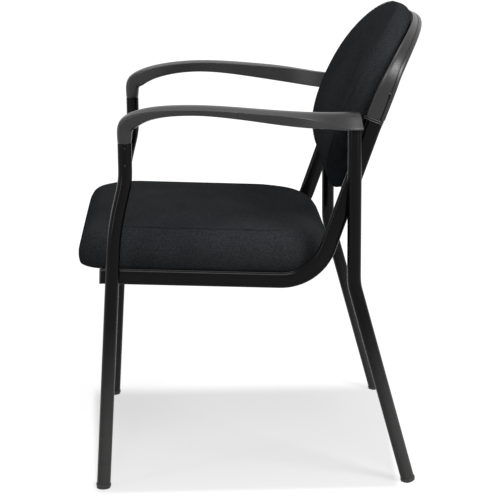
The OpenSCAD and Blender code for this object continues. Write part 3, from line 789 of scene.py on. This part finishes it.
def back_pocket(share, y, radius):
    """A ring of the pocket that holds the back board."""
    grow = POCKET_FIT - BOARD_EDGE
    outline = oval(share * (BACK_W / 2 + grow), BACK_MID + share * (BACK_TOP + grow - BACK_MID),
                   BACK_MID - share * (BACK_BOTTOM + grow + BACK_MID), BACK_MID, BACK_POWER, BACK_POWER)
    return [BACK_PLANE @ mm(x, sheet_depth(y, radius, x), t) for x, t in outline]


def back_upholstery():
    """The back: a pad wrapped round its board, with a seam round the front panel."""
    floor = BOARD_Y - POCKET_FIT
    rows = [at_point(BACK_PLANE @ mm(0, floor, BACK_MID), BACK_STEPS)]
    rows += [back_pocket(share, floor, BOARD_R - POCKET_FIT) for share in (0.5, 1)]
    rows.append(back_pocket(1, BOARD_Y + BOARD_T, BOARD_R + BOARD_T))
    for i, shares in enumerate(BACK_RING_SHARES):
        slack = BACK_SLACK if i > BACK_LIP and i != BACK_SEAM else 0
        rows.append(back_ring(shares, slack))
    crown = BACK_RING_SHARES[-1][3] * BOARD_Y - BACK_CROWN - lumbar(BACK_MID)
    rows.append(at_point(BACK_PLANE @ mm(0, crown, BACK_MID), BACK_STEPS))
    back = rolled_sheet("back_upholstery", rows)
    remesh(back, mm(BACK_VOXEL))
    seam = back_ring(BACK_RING_SHARES[BACK_SEAM])
    tree = tree_of(seam)
    flat = BACK_PLANE.inverted()

    def at_board(co):
        local = flat @ co
        return local.y > mm(sheet_depth(BOARD_Y + BACK_HOLD_DEPTH, BOARD_R, local.x * 1000))

    stuff(back, at_board, tree, BACK_SWELL, [tree])
    return back, thread_lines("back_seam", [seam], True)


# Back shell: its rear sheet and its front rim, then its outline
SHELL_Y = 38
SHELL_R = 1274
SHELL_LEAN = radians(1.3)
RIM_Y = 25
RIM_R = 900
SHELL_HALF = 269
SHELL_LOW_HALF = 250.4
SHELL_TOP = 207.5
SHELL_BOTTOM = 152
SHELL_MID = 60
SHELL_POWER = 2.35
SHELL_STEPS = 48
SIDE_STEPS = 8
SLEEVE_START = 20.5
SLEEVE_REAR = 15.6
SLEEVE_REAR_FALL = 0.012
SHELL_WALL = 3
# Where the shell fills out over each upright: distance from the middle, then height
SLEEVE_REAR_X = (218, 250)
SLEEVE_REAR_T = (-25, 13)
SLEEVE_RIM_X = (232, 250)
SLEEVE_RIM_T = (62, 125)
SLEEVE_RIM_DEPTH = 18.3
# The side wall's bulge: how far in, and how far along from the rim to the groove
SIDE_WALL = [(0.9, 0.04), (0.3, 0.14), (0.0, 0.32), (0.2, 0.52), (0.6, 0.72), (1.1, 0.88), (1.5, 1.0)]
# The parting groove: its distance from the rear face, its edge, and its wall as inset and depth
GROOVE = 8.0
GROOVE_EDGE = 1.4
GROOVE_WALL = [(2.6, -1.0), (2.6, 0.0), (1.0, 0.8)]
CORNER_INSET = 1.0
CORNER_R = 4.0
CORNER_STEPS = 5
INNER_CORNER = 2
RIM_INSET = 1.7
RIM_T = 1.6
# The rim's inner edge: how far outside the cushion, and its rounding as growth and depth
LIP_SHARE = 0.99
LIP_GAP = 0.8
LIP_RAY = 200
LIP_ROUNDING = [(1.0, 1.6), (1.0, 0.5), (1.003, 0)]


def half_oval(half, reach, mid, power, start):
    """Half of a full oval, as (x, height), from an angle onwards."""
    angles = [start + pi * i / SHELL_STEPS for i in range(SHELL_STEPS + 1)]
    return [(half * signed_power(cos(a), 2 / power), mid + reach * signed_power(sin(a), 2 / power))
            for a in angles]


def shell_outline(shrink):
    """The shell seen from behind: full width down to the uprights' sleeves, narrower below."""
    half = SHELL_HALF - shrink
    low = SHELL_LOW_HALF - shrink
    start = SLEEVE_START + shrink
    upper = half_oval(half, SHELL_TOP - shrink - SHELL_MID, SHELL_MID, SHELL_POWER, 0)
    lower = half_oval(low, SLEEVE_START + SHELL_BOTTOM - shrink, SLEEVE_START, BACK_POWER, pi)
    down = [(-half, SHELL_MID + (start - SHELL_MID) * k / SIDE_STEPS) for k in range(1, SIDE_STEPS + 1)]
    up = [(half, start + (SHELL_MID - start) * k / SIDE_STEPS) for k in range(SIDE_STEPS)]
    return upper + down + [(-low, start)] + lower[1:-1] + [(low, start)] + up


def shell_rear(x, t):
    """Depth of the shell's rear face, which fills out to a straight edge over each upright."""
    plain = sheet_depth(SHELL_Y, SHELL_R, x) + t * tan(SHELL_LEAN)
    edge = SLEEVE_REAR - (t - SLEEVE_START) * SLEEVE_REAR_FALL
    return plain + max(0, edge - plain) * ease(abs(x), *SLEEVE_REAR_X) * ease(t, *SLEEVE_REAR_T)


def shell_rim(x, t):
    """Depth of the shell's front rim, which swells forward over the uprights."""
    plain = sheet_depth(RIM_Y, RIM_R, x)
    if t < SLEEVE_START - 2:
        return plain
    swell = max(0, plain + SLEEVE_RIM_DEPTH)
    return plain - swell * ease(abs(x), *SLEEVE_RIM_X) * (1 - ease(t, *SLEEVE_RIM_T))


def lip_edge(x, t):
    """The point of the rim's inner edge on the same ray: just outside the cushion."""
    mid = BACK_RING_SHARES[BACK_LIP][5] * BACK_MID
    half = LIP_SHARE * BACK_W / 2 + LIP_GAP
    reach = BACK_TOP - mid if t > mid else BACK_BOTTOM + mid
    stretch = ((abs(x) / half) ** BACK_POWER + (abs(t - mid) / reach) ** BACK_POWER) ** (-1 / BACK_POWER)
    share = min(1 - SHELL_WALL / LIP_RAY, stretch)
    return x * share, mid + (t - mid) * share


def back_shell():
    """One moulded wall with a rounded rear corner, a parting groove and a thin front rim."""
    def ring(shrink, depth):
        return [BACK_PLANE @ mm(x, depth(x, t), t) for x, t in shell_outline(shrink)]

    def rear(offset):
        return lambda x, t: shell_rear(x, t) + offset

    def rim(offset):
        return lambda x, t: shell_rim(x, t) + offset

    def side(share):
        """The side wall's depth, part of the way from the rim to the groove."""
        return lambda x, t: shell_rim(x, t) + share * (
            shell_rear(x, t) - GROOVE - GROOVE_EDGE - shell_rim(x, t))

    def face(share, shrink, offset):
        """A ring of the rear wall, drawn in towards its middle."""
        points = [(x * share, t * share + SHELL_MID * (1 - share)) for x, t in shell_outline(shrink)]
        return [BACK_PLANE @ mm(x, shell_rear(x, t) + offset, t) for x, t in points]

    count = len(shell_outline(0))
    middle_depth = shell_rear(0, SHELL_MID)
    rows = [at_point(BACK_PLANE @ mm(0, middle_depth - SHELL_WALL, SHELL_MID), count)]
    for share in (0.2, 0.4, 0.6, 0.8, 0.93, 1.0):
        rows.append(face(share, SHELL_WALL + INNER_CORNER, -SHELL_WALL))
    rows.append(ring(SHELL_WALL, rear(-SHELL_WALL - INNER_CORNER)))
    rows.append(ring(SHELL_WALL, rim(RIM_T)))
    lip = [lip_edge(x, t) for x, t in shell_outline(0)]
    for grow, offset in LIP_ROUNDING:
        rows.append([BACK_PLANE @ mm(x * grow, shell_rim(x, t) + offset, t * grow) for x, t in lip])
    rows.append(ring(RIM_INSET, rim(0)))
    for shrink, share in SIDE_WALL:
        rows.append(ring(shrink, side(share)))
    for shrink, offset in GROOVE_WALL:
        rows.append(ring(shrink, rear(-GROOVE + offset)))
    for k in range(CORNER_STEPS + 1):
        angle = pi / 2 * k / CORNER_STEPS
        inset = CORNER_INSET + CORNER_R * (1 - cos(angle))
        rows.append(ring(inset, rear(-CORNER_R * (1 - sin(angle)))))
    for share in (0.94, 0.85, 0.7, 0.5, 0.3, 0.15):
        rows.append(face(share, CORNER_INSET + CORNER_R, 0))
    rows.append(at_point(BACK_PLANE @ mm(0, middle_depth, SHELL_MID), count))
    shell = rolled_sheet("back_shell_moulding", rows)
    smooth(shell, 50)
    return shell


# The collar's section, up from its lower end: outer length and width of the oval, and height
COLLAR_PROFILE = [
    (30.3, 15.3, 0.0), (34.0, 18.0, 0.0), (36.4, 20.0, 0.5), (37.0, 20.6, 1.4), (36.4, 20.0, 2.3),
    (33.2, 17.4, 2.8), (33.2, 17.4, 3.8), (36.4, 20.0, 4.3), (37.0, 20.6, 5.2), (36.4, 20.0, 6.1),
    (33.2, 17.4, 6.6), (30.3, 15.3, 7.2),
]
COLLAR_DEPTH = -2.7
COLLAR_DROP = 6.8


def sleeve_collar():
    """The double ring that ends the shell round the bare tube."""
    rows = []
    for major, minor, t in COLLAR_PROFILE:
        at = BACK_PLANE @ Matrix.Translation(mm(RAIL_X, COLLAR_DEPTH, SLEEVE_START - COLLAR_DROP + t))
        rows.append(flat_oval_ring(FITTING_STEPS, major, minor, at))
    collar = rolled_sheet("left_collar_ring", rows + rows[:1])
    smooth(collar, 60)
    return collar


# Arms
ARM_RUN = REAR_POST_Y - FRONT_POST_Y
ARM_RISE = 72
ARM_BOW = 50
ARM_W = 44
ARM_H = 32
# The arm's sections from the front post to the rear one: place along, rise, lean in degrees,
# bow outwards, width, height inside and outside, drop of the outer edge, corner rounding, crest
ARM_STATION_SHARES = [
    (-0.031, 0.000, 0, 0.00, 0.568, 0.780, 0.780, 0.00, 0.98, 0.00),
    (-0.0325, 0.200, 0, 0.00, 0.600, 0.830, 0.830, 0.00, 0.85, 0.00),
    (-0.0315, 0.405, 12, 0.01, 0.640, 0.880, 0.850, 0.00, 0.66, 0.01),
    (-0.018, 0.580, 34, 0.03, 0.700, 0.960, 0.850, 0.00, 0.52, 0.03),
    (0.008, 0.690, 53, 0.07, 0.770, 0.960, 0.760, 0.02, 0.44, 0.05),
    (0.045, 0.780, 65, 0.14, 0.860, 0.850, 0.580, 0.05, 0.38, 0.08),
    (0.100, 0.863, 76, 0.26, 0.950, 0.720, 0.400, 0.07, 0.24, 0.11),
    (0.175, 0.920, 84, 0.47, 1.000, 0.625, 0.320, 0.09, 0.17, 0.13),
    (0.260, 0.950, 88, 0.68, 1.000, 0.585, 0.280, 0.10, 0.15, 0.13),
    (0.350, 0.955, 91, 0.84, 1.000, 0.580, 0.290, 0.09, 0.15, 0.13),
    (0.460, 0.922, 94, 0.95, 1.000, 0.630, 0.370, 0.07, 0.16, 0.13),
    (0.580, 0.864, 95, 1.00, 1.000, 0.730, 0.450, 0.07, 0.18, 0.12),
    (0.690, 0.812, 95, 0.98, 1.000, 0.840, 0.520, 0.09, 0.18, 0.11),
    (0.780, 0.767, 95, 0.86, 0.980, 0.910, 0.490, 0.16, 0.18, 0.10),
    (0.850, 0.732, 95, 0.64, 0.950, 0.940, 0.380, 0.32, 0.17, 0.07),
    (0.910, 0.702, 94, 0.38, 0.920, 0.960, 0.230, 0.56, 0.16, 0.04),
    (0.960, 0.682, 92, 0.17, 0.880, 0.975, 0.120, 0.74, 0.16, 0.02),
    (1.004, 0.670, 90, 0.03, 0.840, 0.980, 0.090, 0.79, 0.16, 0.01),
    (1.026, 0.666, 82, 0.00, 0.820, 0.980, 0.090, 0.79, 0.16, 0.01),
]
CORNER_CUTS = 4
CREST_SOFTNESS = 0.5
# Size of the small ring inside each end, then the spigots that sit in the posts
END_SHARE = 0.85
POST_WALL = 1.8
SPIGOT_DEPTH = 48
SPIGOT_STEPS = 32
NECK_STEP = 0.5
TIP_BEVEL = 1.5


def soft_section(corners, radii):
    """A section whose corners are short curves of their own radius."""
    points = []
    count = len(corners)
    for i in range(count):
        q = Vector(corners[i])
        before = (Vector(corners[i - 1]) - q).normalized()
        after = (Vector(corners[(i + 1) % count]) - q).normalized()
        for k in range(CORNER_CUTS + 1):
            f = k / CORNER_CUTS
            points.append(q + before * radii[i] * (1 - f) ** 2 + after * radii[i] * f ** 2)
    return points


def arm_ring(station):
    """One section of the arm, in the frame of the chair."""
    along, rise, lean, bow, wide, inside, outside, fall, rounding, crest = station
    y = FRONT_POST_Y + along * ARM_RUN
    z = ARM_JOINT_Z + rise * ARM_RISE
    lean = radians(lean)
    x = LEG_X + bow * ARM_BOW
    w = wide * ARM_W
    inner = inside * ARM_H
    outer = outside * ARM_H
    drop = fall * ARM_H
    r = rounding * min(w, outer + drop * 0.5, inner) / 2
    corners = [(w / 2, -drop), (w / 2, -drop - outer), (-w / 2, -inner), (-w / 2, 0), (0, crest * ARM_H)]
    section = soft_section(corners, [r, r, r, r, CREST_SOFTNESS * (w / 2 - r)])
    return [mm(x + q.x, y - q.y * cos(lean), z + q.y * sin(lean)) for q in section]


def middle(ring):
    return sum(ring, Vector()) / len(ring)


def turned_rows(profile, y, z, steps):
    """Rings round the axis of a post. The profile's points are (radius, height)."""
    angles = [2 * pi * i / steps for i in range(steps)]
    return [[mm(LEG_X + r * cos(a), y + r * sin(a), z + h) for a in angles] for r, h in profile]


def spigot(y, z, top):
    """The round end of the arm that sits in a post, with a neck above it."""
    bore = LEG_D / 2 - POST_WALL
    neck = LEG_D / 2 - NECK_STEP
    profile = [(bore - TIP_BEVEL, -SPIGOT_DEPTH), (bore, TIP_BEVEL - SPIGOT_DEPTH), (bore, 0),
               (neck - 0.4, 0.1), (neck, 0.6), (neck, top)]
    low, high = [at_point(mm(LEG_X, y, z + h), SPIGOT_STEPS) for h in (-SPIGOT_DEPTH, top)]
    return rolled_sheet("spigot", [low] + turned_rows(profile, y, z, SPIGOT_STEPS) + [high])


def armrest():
    """The bowed arm: a swept section, rounded, with the spigots that sit in the posts."""
    rings = [arm_ring(station) for station in ARM_STATION_SHARES]
    count = len(rings[0])
    first = middle(rings[0])
    last = middle(rings[-1])
    rows = [at_point(first, count), [first.lerp(p, END_SHARE) for p in rings[0]]] + rings
    rows += [[last.lerp(p, END_SHARE) for p in rings[-1]], at_point(last, count)]
    arm = rolled_sheet("left_arm_moulding", rows)
    subdivide(arm, 2)
    spigots = [spigot(FRONT_POST_Y, ARM_JOINT_Z, top=6), spigot(REAR_POST_Y, REAR_TOP_Z, top=10)]
    only(arm)
    for part in spigots:
        part.select_set(True)
    bpy.ops.object.join()
    smooth(arm, 50)
    return arm


def post_rim():
    """The painted top of the rear post, which closes the last millimetres up to the arm."""
    outside = LEG_D / 2
    profile = [(outside - 0.4, 0.2), (outside, 0.2), (outside, 6.4), (outside - 0.4, 6.8)]
    rows = turned_rows(profile, REAR_POST_Y, REAR_TOP_Z, FITTING_STEPS)
    rim = rolled_sheet("left_post_rim", rows + rows[:1])
    smooth(rim, 50)
    return rim


# The plug's section, from its stem to its dome: length and width of the oval, and depth in the rail
PLUG_PROFILE = [
    (0.3, 0.3, 14), (26.0, 11.0, 14), (26.7, 11.7, 13), (26.7, 11.7, 0), (30.6, 15.6, 0),
    (31.0, 16.0, -0.6), (31.0, 16.0, -1.8), (30.3, 15.3, -2.6), (28.8, 13.8, -3.0),
    (22.0, 7.0, -3.3), (15.3, 0.3, -3.4),
]


def rail_plug():
    """The front plug of a side rail: a domed flange and a stem in the bore."""
    lean = atan2(RAIL_CORNER[0] - RAIL_FRONT[0], RAIL_CORNER[1] - RAIL_FRONT[1])
    mouth = leaning(RAIL_X, *RAIL_FRONT, lean)
    rows = []
    for major, minor, t in PLUG_PROFILE:
        at = mouth @ Matrix.Translation(mm(0, 0, t))
        rows.append(flat_oval_ring(FITTING_STEPS, major, minor, at))
    plug = rolled_sheet("left_rail_end_plug", rows)
    edit_all(plug)
    bpy.ops.mesh.fill_holes(sides=0)
    bpy.ops.mesh.normals_make_consistent(inside=False)
    bpy.ops.object.mode_set(mode="OBJECT")
    smooth(plug, 50)
    return plug


# Floor, light and camera: metres, watts and shares of white
FLOOR_SIZE = 60
FLOOR_COLOUR = (0.24, 0.24, 0.24, 1)
# Share of white that the floor shows by itself, so that lit and unshaded it is just white
FLOOR_GLOW = 0.86
# Distances between which the floor turns to plain white
FLOOR_FADE = (0.9, 2.0)
# The painted grey shade under the chair: its own share, its far and near edges, the place and slope
# of its front and rear edges, and how soft they are
SHADE_GLOW = 0.60
SHADE_FAR_X = -0.305
SHADE_NEAR_X = 0.315
SHADE_FRONT = (-0.312, -0.045)
SHADE_REAR = (0.274, 0.063)
SHADE_SOFT = 0.02
WHITE = (1, 1, 1, 1)
WORLD_LIGHT = 0.3
LAMP_TARGET = (0, 0, 0.45)
# Name, place, width and height, power
LAMPS = [
    ("side_box", (2.30, 0.0, 2.38), (1.0, 1.0), 32),
    ("rear_box", (1.74, 1.74, 2.17), (1.0, 1.0), 58),
    ("low_strip", (1.96, 1.96, 0.84), (0.4, 1.4), 5),
    ("front_strip", (1.64, -2.34, 0.95), (0.3, 1.5), 13),
    ("over_box", (0.23, 0, 3.04), (1.6, 1.6), 30),
]
# The camera, as fitted to the photograph, whose width is PICTURE_PIXELS
CAMERA_PLACE = (3.31576, -0.13070, 1.15280)
CAMERA_AZIMUTH = radians(87.757)
CAMERA_ELEVATION = radians(13.198)
CAMERA_ROLL = radians(-0.418)
CAMERA_SHIFT = 0.001
FOCAL_PIXELS = 1754.4
PICTURE_PIXELS = 500
SENSOR_WIDTH = 36


def seen_directly(owner):
    """1 for what the camera sees itself, mirrored or through glass, 0 for light on the chair."""
    rays = node(owner, "ShaderNodeLightPath").outputs
    seen = maths(owner, "MAXIMUM", rays["Is Camera Ray"], rays["Is Glossy Ray"])
    return maths(owner, "MAXIMUM", seen, rays["Is Transmission Ray"])


def studio_floor():
    """A pale floor, white to the camera, with a painted grey shade under the chair and the chair's own
    shadow.
    """
    bpy.ops.object.select_all(action="DESELECT")
    bpy.ops.mesh.primitive_plane_add(size=FLOOR_SIZE)
    floor = named("studio_floor")
    material, shader, place = new_material("studio_floor")
    fill(material, shader, {"Base Color": FLOOR_COLOUR, "Roughness": 0.9, "Specular IOR Level": 0.0})
    parts = split(material, place)
    x = parts["X"]

    def edge(value, at, outwards):
        return smooth_step(material, value, at + outwards, at - outwards)

    soft = SHADE_SOFT
    front = maths(material, "MULTIPLY_ADD", x, SHADE_FRONT[1], parts["Y"])
    rear = maths(material, "MULTIPLY_ADD", x, SHADE_REAR[1], parts["Y"])
    # Painted shade: a soft rectangle under the chair where the floor glows less white
    shade = smooth_step(material, x, SHADE_FAR_X - 2 * soft, SHADE_FAR_X + 3 * soft)
    for side in (edge(x, SHADE_NEAR_X, soft), edge(front, SHADE_FRONT[0], -soft / 2),
                 edge(rear, SHADE_REAR[0], soft / 2)):
        shade = maths(material, "MULTIPLY", shade, side)
    near = spread(material, shade, FLOOR_GLOW, SHADE_GLOW)
    distance = node(material, "ShaderNodeVectorMath", {0: place}, operation="LENGTH").outputs["Value"]
    far = smooth_step(material, distance, *FLOOR_FADE, 0.0, 1.0 - FLOOR_GLOW)
    level = maths(material, "ADD", near, far)
    shown = maths(material, "MULTIPLY", level, seen_directly(material))
    glow = node(material, "ShaderNodeEmission", {"Color": WHITE, "Strength": shown})
    both = node(material, "ShaderNodeAddShader", {0: shader.outputs[0], 1: glow.outputs[0]})
    fill(material, material.node_tree.nodes["Material Output"], {"Surface": both.outputs[0]})
    floor.data.materials.append(material)


def soft_box(name, at, size, power):
    """A rectangular lamp turned to the chair's middle."""
    bpy.ops.object.select_all(action="DESELECT")
    bpy.ops.object.light_add(type="AREA", location=at)
    lamp = bpy.context.object
    lamp.name = name
    lamp.data.shape = "RECTANGLE"
    lamp.data.size, lamp.data.size_y = size
    lamp.data.energy = power
    lamp.rotation_euler = (Vector(LAMP_TARGET) - Vector(at)).to_track_quat("-Z", "Y").to_euler()


def studio_light():
    """An even grey world, white where it is seen directly, and the lamps."""
    world = bpy.data.worlds.new("studio")
    bpy.context.scene.world = world
    world.use_nodes = True
    world.node_tree.nodes.clear()
    grey, white = [
        node(world, "ShaderNodeBackground", {"Color": WHITE, "Strength": strength}).outputs[0]
        for strength in (WORLD_LIGHT, 1.0)
    ]
    mix = node(world, "ShaderNodeMixShader", {"Fac": seen_directly(world), 1: grey, 2: white})
    node(world, "ShaderNodeOutputWorld", {"Surface": mix.outputs[0]})
    for lamp in LAMPS:
        soft_box(*lamp)


def photo_camera():
    """The camera of the photograph: beside the chair, a little above the arms."""
    back = Vector((sin(CAMERA_AZIMUTH) * cos(CAMERA_ELEVATION),
                   -cos(CAMERA_AZIMUTH) * cos(CAMERA_ELEVATION), sin(CAMERA_ELEVATION)))
    right = (-back).cross(Vector((0, 0, 1))).normalized()
    up = right.cross(-back)
    turned_right = right * cos(CAMERA_ROLL) + up * sin(CAMERA_ROLL)
    turned_up = up * cos(CAMERA_ROLL) - right * sin(CAMERA_ROLL)
    bpy.ops.object.select_all(action="DESELECT")
    bpy.ops.object.camera_add()
    camera = bpy.context.object
    camera.name = "photo_camera"
    camera.matrix_world = Matrix.Translation(CAMERA_PLACE) @ Matrix(
        (turned_right, turned_up, back)).transposed().to_4x4()
    camera.data.sensor_width = SENSOR_WIDTH
    camera.data.lens = FOCAL_PIXELS / PICTURE_PIXELS * SENSOR_WIDTH
    camera.data.shift_x = -CAMERA_SHIFT
    camera.data.shift_y = CAMERA_SHIFT
    camera.data.clip_start = 0.05
    bpy.context.scene.camera = camera


def dress_node(name, material):
    """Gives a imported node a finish."""
    for holder in frame["nodes"][name].material_slots:
        holder.material = material


bpy.ops.object.select_all(action="DESELECT")
bpy.context.scene.view_settings.view_transform = "Standard"
photo_camera()
studio_light()
studio_floor()

materials = {
    "frame_paint": satin_black_paint(),
    "plug_plastic": black_plastic("plug_plastic", (0.012, 0.012, 0.013), 0.45),
    "glide_rubber": black_plastic("glide_rubber", (0.016, 0.016, 0.017), 0.6),
    "moulded_plastic": moulded_plastic(),
    "fastener_steel": bare_steel("plated_steel", (0.25, 0.25, 0.26), (0.42, 0.42, 0.43)),
    "upholstery": woven_fabric(),
    "plywood": bare_plywood(),
    "dust_cloth": dust_cloth(),
}
for part in frame["record"]["subparts"]:
    dress_node(part["node"], materials[part["material_slot"]])
blackened = bare_steel("blackened_steel", (0.02, 0.02, 0.02), (0.05, 0.05, 0.05))
for arm_screws in ("left_arm_screws", "right_arm_screws"):
    dress_node(arm_screws, blackened)


def settle_pair(piece, other_name, slot, node_end):
    """Settles a left piece and its mirrored copy on the right, with the nodes they stand for."""
    other = mirrored_copy(piece, other_name)
    for part, side in ((piece, "left_"), (other, "right_")):
        nodes = [side + node_end] if node_end else []
        settle(part, slot, materials[slot], *nodes)


settle_pair(side_rail(), "right_rail_tube", "frame_paint", "side_rail")
settle_pair(rail_plug(), "right_rail_end_plug", "plug_plastic", "rail_plug")
settle_pair(armrest(), "right_arm_moulding", "moulded_plastic", "armrest")
settle_pair(post_rim(), "right_post_rim", "frame_paint", None)
settle_pair(sleeve_collar(), "right_collar_ring", "moulded_plastic", "sleeve_collar")
settle(back_shell(), "moulded_plastic", materials["moulded_plastic"], "back_shell")

seat, seat_thread = seat_upholstery()
settle(seat, "upholstery", materials["upholstery"], "seat_cushion")
settle(seat_thread, "upholstery", materials["upholstery"])
back, back_thread = back_upholstery()
settle(back, "upholstery", materials["upholstery"], "back_cushion")
settle(back_thread, "upholstery", materials["upholstery"])
